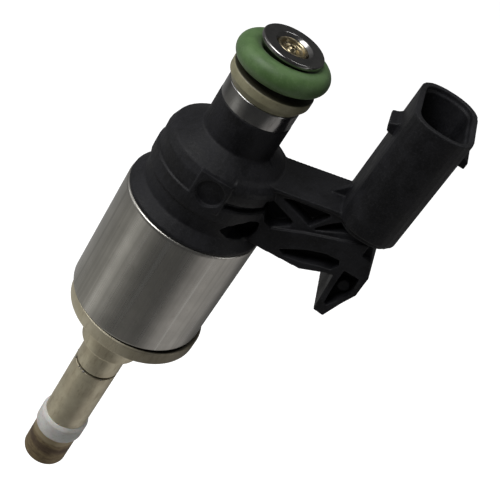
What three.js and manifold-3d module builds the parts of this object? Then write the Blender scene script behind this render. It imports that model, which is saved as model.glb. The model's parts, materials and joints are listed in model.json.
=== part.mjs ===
// High-pressure fuel injector with a side socket, as separate turned, moulded and stamped pieces.
// Millimetres. +Z runs along the valve axis from the spray tip (z = 0) to the fuel inlet.
// +X points at the socket.
import * as THREE from "three";
import { mergeVertices } from "three/addons/utils/BufferGeometryUtils.js";
import Module from "manifold-3d";

const wasm = await Module();
wasm.setup();

// ---- Driving dimensions -------------------------------------------------------------------------

const FIT = 0.02; // gap between two still pieces that are pressed or laid together
const RUNNING = 0.08; // radial clearance of a sliding piece
const LIFT = 0.09; // needle stroke

const ROUND_BIG = 48; // facets round the body and the can
const ROUND = 36; // facets round tubes and rings
const ROUND_SMALL = 20; // facets round pieces inside the bore

const INLET_TOP = 87;
const INLET_DISC = { radius: 4.3, thickness: 0.6, chamfer: 0.12 };
const INLET_BORE = 2.1;
const INLET_COUNTERSINK = { radius: 2.6, depth: 0.5 };
const FUEL_BORE = 1.5;
const SEAL_GROOVE = { radius: 3.08, bottom: 80.7 };
const NECK = { radius: 5.15, top: 79.65, bottom: 77.1, chamfer: 0.12, shelf: 4.2 };
const TUBE_RADIUS = 4.1; // inlet tube inside the moulding
const TUBE_BOTTOM = 60.15;
const SPIGOT = { radius: 2.95, bottom: 58.2 };
const COLLAR = { orifice: 0.28, bottom: 85.3, floor: 86.1 };
const SCREEN = { radius: 1.6, bottom: 74, wall: 0.2, boreBottom: 72 };

const O_RING = { centre: 84.15, ring: 4.78, section: 1.66 };
const O_RING_TILT = { x: -3.5, y: -3.2 }; // degrees: it sits a little crooked
const BACKUP_RING = { outer: 5.75, top: 81.95, shoulder: 80.7, foot: 5.1 };

const BODY_NECK = 5.2;
const BODY_RADIUS = 8.88;
const BODY_WALL = 8.75; // between the rib and the skirt
const BODY_SHOULDER = { radius: 8.4, height: 69.9 };
const BODY_CONE = { bottomRadius: 8.2, bottom: 70.1, topRadius: 5.3, top: 72.0 };
const BODY_RIB = { radius: 9.12, top: 66.3, bottom: 63.95 };
const SKIRT = { top: 61.15, bottom: 59.24, radius: 10.08, upperRadius: 8.95 };
const PAD = { left: -1.9, right: 2.75, front: -8.92, bottom: 65.2, top: 70.0 };
const PAD_RECESS = { x: 0.55, z: 67.55, radius: 1.95, floor: -8.5 };
const SWELLING = { radius: 9.2, bottom: 67.5, top: 69.7 };

const CAN = { radius: 10.2, wall: 1.3, bottom: 39.1, top: 59.2, floor: 2.3 };
const SEAT_RING = { outer: 10.15, inner: 5.5, bottom: 36.25, top: 39.04, offset: 0.62 };

const CORE_RADIUS = 5.5; // core, isolating ring and housing share this outside radius
const CORE_TOP = 60.1;
const CORE_FACE = 47.5; // the armature is pulled up to this face
const CORE_STEP = 50.03; // the core is narrower below this, inside the isolating ring
const CORE_BORE = 1.75;
const GUIDE_BORE = 4.55; // the armature runs in this
const ISOLATING_RING = { bottom: 46.8, top: 50.0 };
const SLEEVE = { bore: 1, bottom: 53, top: 57.4 };
const POLE_WASHER = { bottom: 56.6, top: 58.45 };
const BOBBIN = { bottom: 41.45, top: 56.3, flange: 8.6, flangeThickness: 1.05, hub: 6.4 };
const WINDING = { valley: 8.1, crest: 8.35, layers: 4 };
const HUB = { radius: 4.78, bottom: 28.9, top: 39.06 };
const NOZZLE = { radius: 3.55, bore: 2.2, weld: 23.75, spigot: 2.95, spigotTop: 27.4 };
const TIP = { radius: 3.63, top: 6.95, bottom: 0.12 };
const SEAL = { outer: 3.98, bottom: 6.97, top: 10.55, groove: 3.1 };
const SEAT_POCKET = { radius: 2.77, top: 5.4 };
const SEAT = { top: 2.95, coneTop: 2.65, rim: 2.3, contact: 0.88, sac: 0.45, sacFloor: 0.9 };
const SPRAY = { count: 6, radius: 0.1, slant: Math.PI / 7, start: 0.55 };
const BALL_GUIDE = { bottom: 2.97, top: 4.1, slots: 5, slotRadius: 0.38, slotRing: 1.95 };

const BALL = { radius: 1.245, centre: 3.3, flat: 0.9 };
const NEEDLE = { rod: 0.85, stem: 1.18, head: 1.67, headTop: 48.0, stemBottom: 41 };
const ARMATURE = { bottom: 42.2, top: CORE_FACE - LIFT - 0.01, stemBore: 1.2 };
const ARMATURE_HOLES = { count: 4, radius: 0.6, ring: 2.8 };
const SPRING = { bottom: 48.05, top: 52.9, ring: 1.22, wire: 0.2, turns: 5 };

const SOCKET = { x: 20.4, halfFlat: 4.2, endRadius: 6.45, corner: 3.0, wall: 1.05, rim: 89.9, floor: 77 };
const SOCKET_SHELL = { bottom: 72.0, footBottom: 71.1, footInset: 0.7, lipDepth: 0.7, lipWall: 0.8 };
const LOCK_HALF_WIDTH = 1.9;
const ARM = { front: -4.35, back: 4.25, web: 1.9, setBack: 0.4 };
const FOOT_TWIST = 5; // degrees by which the foot's inner face turns towards the front
const FOOT_BOSS = { radius: 0.88, height: 1.6, x: 22.6, z: 62.2 };
const BLADE = { width: 1.5, thickness: 0.7, top: 84.4, pitch: 4.8, jogBottom: 73, jogTop: 74.2 };
const STRIP = { thickness: 0.6, inner: 0.9, bottom: 56.35, legInner: 6.7, legOuter: 7.8 };

// ---- Colours ------------------------------------------------------------------------------------

const FINISH = {
  blackPlastic: { color: 0x1f1f21, roughness: 0.75, metalness: 0 },
  canSteel: { color: 0xb4b1ab, roughness: 0.35, metalness: 1 },
  steel: { color: 0xa9a59a, roughness: 0.35, metalness: 1 },
  darkSteel: { color: 0x77767c, roughness: 0.25, metalness: 1 },
  tarnished: { color: 0x7b6650, roughness: 0.55, metalness: 0.9 },
  brass: { color: 0xb08d4c, roughness: 0.3, metalness: 1 },
  copper: { color: 0xa8552b, roughness: 0.4, metalness: 1 },
  tin: { color: 0xc3c1ba, roughness: 0.3, metalness: 1 },
  greenRubber: { color: 0x5e9a5b, roughness: 0.6, metalness: 0 },
  tanPlastic: { color: 0x8e8a6c, roughness: 0.6, metalness: 0 },
  whitePlastic: { color: 0xf0eee8, roughness: 0.5, metalness: 0 },
  brownPlastic: { color: 0x4a3a2c, roughness: 0.6, metalness: 0 },
};

// ---- Building blocks ----------------------------------------------------------------------------

const group = new THREE.Group();
group.name = "fuel_injector";

// A closed three.js geometry as a solid that can be joined and cut.
function solid(geometry) {
  const bare = geometry.clone();
  bare.deleteAttribute("normal");
  bare.deleteAttribute("uv");
  const merged = mergeVertices(bare, 1e-4);
  return new wasm.Manifold(
    new wasm.Mesh({
      numProp: 3,
      vertProperties: new Float32Array(merged.attributes.position.array),
      triVerts: new Uint32Array(merged.index.array),
    }),
  );
}

// The solid as a three.js geometry again.
function geometryOf(body) {
  const mesh = body.getMesh();
  const positions = new Float32Array(mesh.numVert * 3);
  for (let i = 0; i < mesh.numVert; i++) {
    const at = i * mesh.numProp;
    positions.set(mesh.vertProperties.subarray(at, at + 3), i * 3);
  }
  const geometry = new THREE.BufferGeometry();
  geometry.setAttribute("position", new THREE.BufferAttribute(positions, 3));
  geometry.setIndex(new THREE.BufferAttribute(new Uint32Array(mesh.triVerts), 1));
  return geometry;
}

function addPiece(name, body, finish) {
  const geometry = geometryOf(body).toNonIndexed();
  geometry.computeVertexNormals();
  const mesh = new THREE.Mesh(geometry, new THREE.MeshStandardMaterial(FINISH[finish]));
  mesh.name = name;
  group.add(mesh);
}

// Turns a profile of [radius, height] points about Z. The outside is listed upwards, so a ring's
// profile runs anticlockwise. A profile whose ends are off the axis is closed on itself.
function turned(profile, facets = ROUND) {
  const points = profile.map(([r, z]) => new THREE.Vector2(r, z));
  const first = points[0];
  const last = points[points.length - 1];
  if (first.x > 0 || last.x > 0) points.push(first.clone());
  return solid(new THREE.LatheGeometry(points, facets).rotateX(Math.PI / 2));
}

function ring(inner, outer, bottom, top, facets = ROUND) {
  const profile = [[inner, bottom], [outer, bottom], [outer, top], [inner, top]];
  return turned(profile, facets);
}

function disc(radius, bottom, top, facets = ROUND) {
  return turned([[0, bottom], [radius, bottom], [radius, top], [0, top]], facets);
}

// An outline of [x, z] points made solid between two y values.
function plate(outline, yLow, yHigh) {
  const shape = new THREE.Shape(outline.map(([x, z]) => new THREE.Vector2(x, z)));
  const geometry = new THREE.ExtrudeGeometry(shape, { depth: yHigh - yLow, bevelEnabled: false });
  return solid(geometry.rotateX(Math.PI / 2).translate(0, yHigh, 0));
}

// An outline of [x, y] points made solid between two heights.
function prism(outline, bottom, top) {
  const shape = new THREE.Shape(outline.map(([x, y]) => new THREE.Vector2(x, y)));
  const geometry = new THREE.ExtrudeGeometry(shape, { depth: top - bottom, bevelEnabled: false });
  return solid(geometry.translate(0, 0, bottom));
}

function block([x0, x1], [y0, y1], [z0, z1]) {
  const geometry = new THREE.BoxGeometry(x1 - x0, y1 - y0, z1 - z0);
  return solid(geometry.translate((x0 + x1) / 2, (y0 + y1) / 2, (z0 + z1) / 2));
}

function joined(bodies) {
  return bodies.reduce((whole, body) => whole.add(body));
}

function cut(body, tools) {
  return tools.reduce((left, tool) => left.subtract(tool), body);
}

// Copies of a body turned about Z in equal steps.
function around(count, make) {
  return Array.from({ length: count }, (_, i) => make((i * 2 * Math.PI) / count));
}

// ---- Fuel inlet ---------------------------------------------------------------------------------

function inletTube() {
  const discBottom = INLET_TOP - INLET_DISC.thickness;
  const sinkBottom = INLET_TOP - INLET_COUNTERSINK.depth;
  return turned([
    [FUEL_BORE, SPIGOT.bottom],
    [SPIGOT.radius, SPIGOT.bottom],
    [SPIGOT.radius, TUBE_BOTTOM],
    [TUBE_RADIUS, TUBE_BOTTOM],
    [TUBE_RADIUS, NECK.bottom],
    [NECK.radius, NECK.bottom],
    [NECK.radius, NECK.top - NECK.chamfer],
    [NECK.radius - NECK.chamfer, NECK.top],
    [NECK.shelf, NECK.top],
    [SEAL_GROOVE.radius, SEAL_GROOVE.bottom],
    [SEAL_GROOVE.radius, discBottom],
    [INLET_DISC.radius, discBottom],
    [INLET_DISC.radius, INLET_TOP - INLET_DISC.chamfer],
    [INLET_DISC.radius - INLET_DISC.chamfer, INLET_TOP],
    [INLET_COUNTERSINK.radius, INLET_TOP],
    [INLET_BORE, sinkBottom],
    [INLET_BORE, SCREEN.boreBottom],
    [FUEL_BORE, SCREEN.boreBottom - 0.6],
  ]);
}

// Brass insert, flush with the inlet: a dished face round a raised button with the fuel orifice.
function filterCollar() {
  const top = INLET_TOP - 0.25;
  const outer = INLET_BORE - FIT;
  return turned([
    [COLLAR.orifice, COLLAR.bottom],
    [outer, COLLAR.bottom],
    [outer, top - 0.1],
    [outer - 0.1, top],
    [1.7, top],
    [1.5, COLLAR.floor + 0.1],
    [1.2, COLLAR.floor],
    [0.8, COLLAR.floor + 0.05],
    [0.55, top - 0.1],
    [0.45, top],
    [COLLAR.orifice, top],
  ]);
}

function filterScreen() {
  const { radius: outer, bottom, wall } = SCREEN;
  const top = COLLAR.bottom - FIT;
  return turned(
    [
      [0, bottom],
      [0.7, bottom],
      [outer - wall, bottom + 1],
      [outer, top],
      [outer - wall, top],
      [outer - 2 * wall, bottom + 1.1],
      [0.6, bottom + wall],
      [0, bottom + wall],
    ],
    ROUND_SMALL,
  );
}

function oRing() {
  const torus = new THREE.TorusGeometry(O_RING.ring, O_RING.section, 14, ROUND);
  torus.rotateX(THREE.MathUtils.degToRad(O_RING_TILT.x));
  torus.rotateY(THREE.MathUtils.degToRad(O_RING_TILT.y));
  return solid(torus.translate(0, 0, O_RING.centre));
}

function backupRing() {
  const { outer, top, shoulder, foot } = BACKUP_RING;
  const inner = SEAL_GROOVE.radius + 2 * FIT;
  const bottom = NECK.top + FIT;
  return turned([
    [NECK.shelf + 0.05, bottom],
    [foot, bottom],
    [outer, shoulder],
    [outer, top - 0.15],
    [outer - 0.15, top],
    [inner, top],
    [inner, SEAL_GROOVE.bottom + 2 * FIT],
  ]);
}

// ---- Black moulding -----------------------------------------------------------------------------

// Two flats joined by round ends, as [x, y] points about the socket's own centre line.
function socketOutline(inset) {
  const halfFlat = SOCKET.halfFlat - inset;
  const endRadius = SOCKET.endRadius - inset;
  const corner = SOCKET.corner - inset;
  const cx = halfFlat - corner;
  const cy = Math.sqrt((endRadius - corner) ** 2 - cx ** 2);
  const turn = Math.atan2(cy, cx);
  const quarter = [];
  for (let i = 0; i <= 4; i++) {
    const angle = (turn * i) / 4;
    quarter.push([cx + corner * Math.cos(angle), cy + corner * Math.sin(angle)]);
  }
  for (let i = 1; i <= 4; i++) {
    const angle = turn + ((Math.PI / 2 - turn) * i) / 4;
    quarter.push([endRadius * Math.cos(angle), endRadius * Math.sin(angle)]);
  }
  const left = quarter.slice(0, -1).reverse().map(([x, y]) => [-x, y]);
  const back = [...quarter, ...left];
  const front = back.map(([x, y]) => [-x, -y]);
  return [...back, ...front].map(([x, y]) => [SOCKET.x + x, y]);
}

function roundBody() {
  const neckTop = NECK.bottom - FIT;
  const body = turned(
    [
      [0, SKIRT.bottom],
      [SKIRT.radius, SKIRT.bottom],
      [SKIRT.radius, SKIRT.bottom + 0.45],
      [SKIRT.upperRadius, SKIRT.top],
      [BODY_WALL, SKIRT.top + 0.2],
      [BODY_WALL, BODY_RIB.bottom - 0.35],
      [BODY_RIB.radius, BODY_RIB.bottom + 0.1],
      [BODY_RIB.radius - 0.02, BODY_RIB.top - 0.15],
      [BODY_RADIUS - 0.04, BODY_RIB.top],
      [BODY_RADIUS, 68.7],
      [BODY_SHOULDER.radius, BODY_SHOULDER.height],
      [BODY_CONE.bottomRadius, BODY_CONE.bottom],
      [BODY_CONE.topRadius, BODY_CONE.top],
      [BODY_NECK, BODY_CONE.top + 0.15],
      [BODY_NECK, neckTop - 0.1],
      [BODY_NECK - 0.1, neckTop],
      [0, neckTop],
    ],
    ROUND_BIG,
  );
  const pad = block([PAD.left, PAD.right], [PAD.front, -6], [PAD.bottom, PAD.top]);
  const depth = PAD_RECESS.floor - PAD.front;
  const recess = new THREE.CylinderGeometry(PAD_RECESS.radius, PAD_RECESS.radius, 2 * depth, 28);
  return body.add(pad).subtract(solid(recess.translate(PAD_RECESS.x, PAD.front, PAD_RECESS.z)));
}

// The body swells on both sides where the arm leaves it.
function bodySwellings() {
  const swelling = turned(
    [
      [6, SWELLING.bottom - 0.8],
      [8.5, SWELLING.bottom - 0.8],
      [SWELLING.radius - 0.1, SWELLING.bottom],
      [SWELLING.radius, SWELLING.bottom + 0.6],
      [SWELLING.radius, SWELLING.top - 0.6],
      [SWELLING.radius - 0.25, SWELLING.top],
      [BODY_CONE.bottomRadius, BODY_CONE.bottom + 0.15],
      [7.2, BODY_CONE.bottom + 0.6],
      [6, BODY_CONE.bottom + 0.6],
    ],
    ROUND_BIG,
  );
  const sides = [-1, 1].map((side) => {
    const ends = [side * 3.5, side * 12].sort((a, b) => a - b);
    return block([PAD.right, 9], ends, [66, 72]);
  });
  return sides.map((side) => swelling.intersect(side));
}

// Outline of the deep hollow under the rib, beside the arm.
const SIDE_HOLLOW = [
  [4.1, 62.6],
  [5.5, 61.5],
  [7.1, 61.25],
  [8.1, 61.7],
  [8.5, 63.2],
  [8.3, 64.4],
  [7.1, 64.95],
  [5.6, 64.35],
];

// A groove over the rib and a deep hollow under it, on both sides of the arm. They stop at its middle web.
function bodyHollows() {
  const wallRadius = 6.7;
  const groove = turned(
    [
      [8.0, BODY_RIB.top + 0.1],
      [12, BODY_RIB.top + 0.1],
      [12, SWELLING.bottom],
      [9.1, SWELLING.bottom],
      [8.45, BODY_RIB.top + 0.8],
      [8.0, BODY_RIB.top + 0.7],
    ],
    ROUND_BIG,
  );
  const besides = [[-12, -ARM.web], [ARM.web, 12]].map((ends) => block([PAD.right + 0.1, 12], ends, [60, 69]));
  const outside = ring(wallRadius, 14, 60, 66, ROUND_BIG);
  const hollows = [plate(SIDE_HOLLOW, -12, -ARM.web), plate(SIDE_HOLLOW, ARM.web, 12)];
  return [
    ...besides.map((beside) => groove.intersect(beside)),
    ...hollows.map((hollow) => hollow.intersect(outside)),
  ];
}

// Arm and foot seen from the side.
const ARM_OUTLINE = [
  [5, 61.3],
  [9.7, 61.1],
  [16.1, 61.5],
  [18.6, 62.75],
  [19.55, 63.25],
  [20.3, 56.95],
  [22.65, 56.85],
  [23.7, 60.2],
  [24.6, 62.5],
  [24.5, 65.9],
  [23.8, 67.4],
  [22.7, 69.8],
  [24.1, 71.6],
  [16.4, 72.5],
  [9.0, 70.75],
  [7.4, 70.4],
  [5, 70.4],
];

// Pockets that leave the arm as a truss on a middle web.
const ARM_POCKETS = [
  [[7.4, 68.7], [7.5, 67.3], [8.7, 65.1], [9.8, 64.8], [11.9, 66.3], [11.95, 67.15]],
  [[8.95, 69.5], [11.0, 68.85], [12.7, 68.35], [14.05, 67.9], [15.5, 70.6], [15.45, 71.1], [10.4, 70.1]],
  [[14.5, 67.65], [15.6, 68.2], [19.05, 70.3], [18.7, 70.8], [17.3, 71.1], [15.8, 69.5]],
  [
    [12.3, 62.55],
    [13.4, 62.0],
    [15.8, 62.6],
    [18.0, 63.5],
    [19.7, 64.0],
    [20.25, 65.2],
    [19.9, 66.0],
    [17.8, 65.75],
    [15.5, 64.75],
  ],
  [[21.25, 65.0], [21.35, 62.0], [21.7, 58.8], [22.2, 58.6], [23.3, 60.8], [23.9, 62.3], [23.6, 65.0]],
];

// The truss stands back from the beam below it and the flange above it.
const TRUSS_FIELD = [
  [7.0, 69.75],
  [7.6, 66.4],
  [9.9, 64.7],
  [14.0, 66.85],
  [19.6, 69.3],
  [21.9, 70.35],
  [21.9, 71.0],
  [18.5, 71.5],
  [15.5, 71.75],
  [9.0, 70.25],
];

// Step in the arm's side under the socket.
const SOCKET_STEP = [
  [21.9, 68.3],
  [23.9, 68.3],
  [24.6, 71.0],
  [21.9, 71.0],
];

const LOCK_RAMPS = [
  [[16.7, 86.9], [15.6, 86.0], [14.85, 85.7], [14.8, 85.4], [15.15, 84.5], [16.7, 84.3]],
  [[24.1, 87.5], [24.1, 85.5], [25.85, 85.5], [25.85, 86.5]],
];

// Stiffening fins: socket to arm, and neck to arm.
const FINS = [
  { outline: [[13.8, 71.6], [16.6, 71.6], [16.6, 74.5], [16.2, 74.5]], y: [-0.25, 0.65] },
  { outline: [[4.3, 70.1], [7.1, 70.1], [6.75, 70.55], [4.9, 72.4], [4.3, 72.4]], y: [-1.8, -0.3] },
];

// What has to go from the foot so that its inner face turns towards the front.
function footTrim() {
  const corner = [20.4, ARM.front];
  const outline = [[18.5, 62.6], [18.5, 56], [21.15, 56], [20.4, 63.45]];
  const wedge = plate(outline, ARM.front - 2, ARM.back + 2);
  return wedge
    .translate([-corner[0], -corner[1], 0])
    .rotate([0, 0, FOOT_TWIST])
    .translate([corner[0], corner[1], 0]);
}

function overmould() {
  const shell = prism(socketOutline(0), SOCKET_SHELL.bottom, SOCKET.rim);
  const shellFoot = prism(
    socketOutline(SOCKET_SHELL.footInset),
    SOCKET_SHELL.footBottom,
    SOCKET_SHELL.bottom + 0.1,
  );
  const arm = plate(ARM_OUTLINE, ARM.front, ARM.back).subtract(footTrim());
  const locks = LOCK_RAMPS.map((outline) => plate([...outline].reverse(), -LOCK_HALF_WIDTH, LOCK_HALF_WIDTH));
  const fins = FINS.map(({ outline, y }) => plate(outline, ...y));
  const plug = disc(CAN.radius - CAN.wall - 0.05, 58.5, SKIRT.bottom + 0.1, ROUND_BIG);
  const round = joined([roundBody(), ...bodySwellings()]);
  const fields = [TRUSS_FIELD, SOCKET_STEP].flatMap((outline, i) => {
    const depth = ARM.setBack * (1 + 2 * i);
    return [
      plate(outline, ARM.front - 1, ARM.front + depth),
      plate(outline, ARM.back - depth, ARM.back + 1),
    ];
  });
  const whole = joined([cut(arm, fields), round, shell, shellFoot, plug, ...locks, ...fins]);

  const coreBore = disc(CORE_RADIUS + FIT, 58, CORE_TOP + FIT);
  const tubeBore = disc(TUBE_RADIUS + FIT, 60, 78);
  const socketRoom = prism(socketOutline(SOCKET.wall), SOCKET.floor, SOCKET.rim + 1);
  const lipBottom = SOCKET.rim - SOCKET_SHELL.lipDepth;
  const lipRoom = prism(socketOutline(SOCKET_SHELL.lipWall), lipBottom, SOCKET.rim + 1);
  const pockets = ARM_POCKETS.flatMap((outline) => [
    plate(outline, ARM.front - 1, -ARM.web),
    plate(outline, ARM.web, ARM.back + 1),
  ]);
  const bosses = [1, -1].map((side) => {
    const boss = new THREE.CylinderGeometry(FOOT_BOSS.radius, FOOT_BOSS.radius, FOOT_BOSS.height, 20);
    const y = side * (ARM.web + FOOT_BOSS.height / 2 - 0.1);
    return solid(boss.translate(FOOT_BOSS.x, y, FOOT_BOSS.z));
  });
  const channels = [1, -1].map((side) => terminal(side, FIT));
  const pocketed = joined([cut(whole, [...pockets, ...bodyHollows()]), ...bosses]);
  return cut(pocketed, [coreBore, tubeBore, socketRoom, lipRoom, ...channels]);
}

// ---- Contacts -----------------------------------------------------------------------------------

// One stamped contact: a blade in the socket, a jog, a flat strip through the arm and a leg down to the coil.
// The grow value makes the same shape larger all round, for the room it takes in the moulding.
function terminal(side, grow = 0) {
  const bladeCentre = BLADE.pitch / 2;
  const halfWidth = BLADE.width / 2 + grow;
  const halfThick = BLADE.thickness / 2 + grow;
  const stripInner = STRIP.inner - grow;
  const stripOuter = STRIP.inner + STRIP.thickness + grow;
  const span = (low, high) => (side > 0 ? [low, high] : [-high, -low]);
  const xs = [SOCKET.x - halfThick, SOCKET.x + halfThick];
  const jogBottom = BLADE.jogBottom - grow;
  const bladeOuter = bladeCentre + halfWidth;
  const blade = block(xs, span(bladeCentre - halfWidth, bladeOuter), [jogBottom, BLADE.top + grow]);
  const jog = block(xs, span(stripInner, bladeOuter), [jogBottom, BLADE.jogTop + grow]);
  const neck = block(xs, span(stripInner, stripOuter), [68.6 - grow, BLADE.jogTop - 0.2]);
  const [yLow, yHigh] = span(stripInner, stripOuter);
  const run = plate(
    [
      [STRIP.legInner - grow, 64.9 - grow],
      [STRIP.legOuter + grow, 64.9 - grow],
      [SOCKET.x + halfThick, 68.6 - grow],
      [SOCKET.x + halfThick, 69.9 + grow],
      [STRIP.legInner - grow, 66.3 + grow],
    ],
    yLow,
    yHigh,
  );
  const leg = block([STRIP.legInner - grow, STRIP.legOuter + grow], [yLow, yHigh], [STRIP.bottom - grow, 66]);
  return joined([blade, jog, neck, run, leg]);
}

// ---- Magnetic circuit ---------------------------------------------------------------------------

function magnetPot() {
  const inner = CAN.radius - CAN.wall;
  const hole = CORE_RADIUS + 0.05 + FIT;
  return turned(
    [
      [hole, CAN.bottom],
      [CAN.radius - 0.25, CAN.bottom],
      [CAN.radius, CAN.bottom + 0.25],
      [CAN.radius, CAN.top - 0.12],
      [CAN.radius - 0.12, CAN.top],
      [inner, CAN.top],
      [inner, CAN.bottom + CAN.floor],
      [hole, CAN.bottom + CAN.floor],
    ],
    ROUND_BIG,
  );
}

// Slotted so that the contacts can pass.
function poleWasher() {
  const { bottom, top } = POLE_WASHER;
  const washer = ring(CORE_RADIUS + 0.06, CAN.radius - CAN.wall - 0.05, bottom, top);
  return washer.subtract(block([6.2, 10], [-2.1, 2.1], [bottom - 1, top + 1]));
}

function coilBobbin() {
  const inner = CORE_RADIUS + 0.12;
  const { bottom, top, flange, flangeThickness, hub } = BOBBIN;
  return turned([
    [inner, bottom],
    [flange, bottom],
    [flange, bottom + flangeThickness],
    [hub, bottom + flangeThickness],
    [hub, top - flangeThickness],
    [flange, top - flangeThickness],
    [flange, top],
    [inner, top],
  ]);
}

function coilWinding() {
  const inner = BOBBIN.hub + FIT;
  const bottom = BOBBIN.bottom + BOBBIN.flangeThickness + FIT;
  const top = BOBBIN.top - BOBBIN.flangeThickness - FIT;
  const { valley, crest, layers } = WINDING;
  const pitch = (top - bottom) / layers;
  const profile = [[inner, bottom]];
  for (let i = 0; i < layers; i++) {
    profile.push([valley, bottom + i * pitch]);
    profile.push([crest, bottom + (i + 0.5) * pitch]);
  }
  profile.push([valley, top], [inner, top]);
  return turned(profile);
}

function innerPole() {
  const pocket = SPIGOT.radius + FIT;
  return turned([
    [CORE_BORE, CORE_FACE],
    [GUIDE_BORE - 0.03, CORE_FACE],
    [GUIDE_BORE - 0.03, CORE_STEP],
    [CORE_RADIUS, CORE_STEP],
    [CORE_RADIUS, CORE_TOP],
    [pocket, CORE_TOP],
    [pocket, SPIGOT.bottom - FIT],
    [CORE_BORE, SPIGOT.bottom - FIT],
  ]);
}

function isolatingRing() {
  return ring(GUIDE_BORE, CORE_RADIUS, ISOLATING_RING.bottom, ISOLATING_RING.top);
}

function adjustingSleeve() {
  return ring(SLEEVE.bore, CORE_BORE - 0.01, SLEEVE.bottom, SLEEVE.top);
}

// ---- Valve --------------------------------------------------------------------------------------

function seatRing() {
  const { outer, inner, bottom, top, offset } = SEAT_RING;
  const body = turned(
    [
      [inner, bottom],
      [outer - 0.3, bottom],
      [outer, bottom + 0.3],
      [outer, top - 0.35],
      [outer - 0.35, top],
      [inner, top],
    ],
    ROUND_BIG,
  );
  return body.translate([offset, 0, 0]);
}

function valveHousing() {
  const socketBore = NOZZLE.spigot + FIT;
  const socketTop = NOZZLE.spigotTop + 0.05;
  const weldTop = NOZZLE.weld + 0.12;
  const flange = CORE_RADIUS + 0.05;
  const guideBottom = 41.2;
  return turned([
    [socketBore, weldTop],
    [NOZZLE.radius - 0.1, weldTop],
    [NOZZLE.radius, weldTop + 0.13],
    [NOZZLE.radius, HUB.bottom - 0.25],
    [HUB.radius - 0.15, HUB.bottom],
    [HUB.radius, HUB.bottom + 0.2],
    [HUB.radius, HUB.top],
    [flange, HUB.top],
    [flange, guideBottom + 0.2],
    [CORE_RADIUS, guideBottom + 0.22],
    [CORE_RADIUS, ISOLATING_RING.bottom - FIT],
    [GUIDE_BORE, ISOLATING_RING.bottom - FIT],
    [GUIDE_BORE, guideBottom],
    [NOZZLE.bore, guideBottom - 1.6],
    [NOZZLE.bore, socketTop],
    [socketBore, socketTop],
  ]);
}

function valveBody() {
  const { radius, bore, weld, spigot, spigotTop } = NOZZLE;
  const weldRoot = radius - 0.25;
  return turned([
    [SEAT_POCKET.radius, TIP.bottom],
    [TIP.radius - 0.35, TIP.bottom],
    [TIP.radius, TIP.bottom + 0.43],
    [TIP.radius, TIP.top],
    [SEAL.groove, TIP.top],
    [SEAL.groove, SEAL.top + FIT],
    [radius, SEAL.top + FIT],
    [radius, weld - 0.2],
    [weldRoot, weld - 0.1],
    [weldRoot, weld + 0.1],
    [spigot, weld + 0.1],
    [spigot, spigotTop],
    [bore, spigotTop],
    [bore, SEAT_POCKET.top],
    [SEAT_POCKET.radius, SEAT_POCKET.top],
  ]);
}

function combustionSeal() {
  const { outer, bottom, top, groove } = SEAL;
  return turned([
    [groove + FIT, bottom],
    [outer - 0.1, bottom],
    [outer, bottom + 0.35],
    [outer, top - 0.45],
    [3.62, top],
    [groove + FIT, top],
  ]);
}

// Seat insert with a cone for the ball, a sac below it and six slanted spray holes.
function valveSeat() {
  const outer = SEAT_POCKET.radius - FIT;
  const { top, coneTop, rim, contact, sac, sacFloor } = SEAT;
  const contactHeight = BALL.centre - BALL.radius * Math.SQRT1_2 - 0.012;
  const body = turned(
    [
      [0, 0],
      [outer - 0.15, 0],
      [outer, 0.15],
      [outer, top],
      [rim, top],
      [rim, coneTop],
      [contact + coneTop - contactHeight, coneTop],
      [sac, contactHeight - contact + sac],
      [sac, sacFloor],
      [0, sacFloor],
    ],
    ROUND_SMALL,
  );
  const sprays = around(SPRAY.count, (angle) => {
    const tool = new THREE.CylinderGeometry(SPRAY.radius, SPRAY.radius, 3, 8).rotateX(Math.PI / 2);
    tool.rotateY(-SPRAY.slant).translate(SPRAY.start, 0, sacFloor / 2).rotateZ(angle);
    return solid(tool);
  });
  const belowCone = disc(1.4, -1, 1.3);
  return cut(body, sprays.map((tool) => tool.intersect(belowCone)));
}

function ballGuide() {
  const { bottom, top, slots, slotRadius, slotRing } = BALL_GUIDE;
  const plain = ring(BALL.radius + RUNNING / 2, SEAT_POCKET.radius - FIT, bottom, top, ROUND_SMALL);
  const tools = around(slots, (angle) => {
    const tool = new THREE.CylinderGeometry(slotRadius, slotRadius, 3, 12).rotateX(Math.PI / 2);
    return solid(tool.translate(slotRing, 0, (bottom + top) / 2).rotateZ(angle));
  });
  return cut(plain, tools);
}

// ---- Moving pieces ------------------------------------------------------------------------------

function ball() {
  const steps = 10;
  const flatAngle = Math.asin(BALL.flat / BALL.radius);
  const profile = [];
  for (let i = 0; i <= steps; i++) {
    const angle = -Math.PI / 2 + ((flatAngle + Math.PI / 2) * i) / steps;
    const radius = i === 0 ? 0 : BALL.radius * Math.cos(angle);
    profile.push([radius, BALL.centre + BALL.radius * Math.sin(angle)]);
  }
  profile.push([0, BALL.centre + BALL.flat]);
  return turned(profile, ROUND_SMALL);
}

function needle() {
  const bottom = BALL.centre + BALL.flat + 0.01;
  return turned(
    [
      [0, bottom],
      [NEEDLE.rod - 0.05, bottom],
      [NEEDLE.rod, bottom + 0.3],
      [NEEDLE.rod, NEEDLE.stemBottom - 0.5],
      [NEEDLE.stem, NEEDLE.stemBottom],
      [NEEDLE.stem, ARMATURE.top + 0.01],
      [NEEDLE.head, ARMATURE.top + 0.01],
      [NEEDLE.head, NEEDLE.headTop],
      [0, NEEDLE.headTop],
    ],
    ROUND_SMALL,
  );
}

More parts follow.
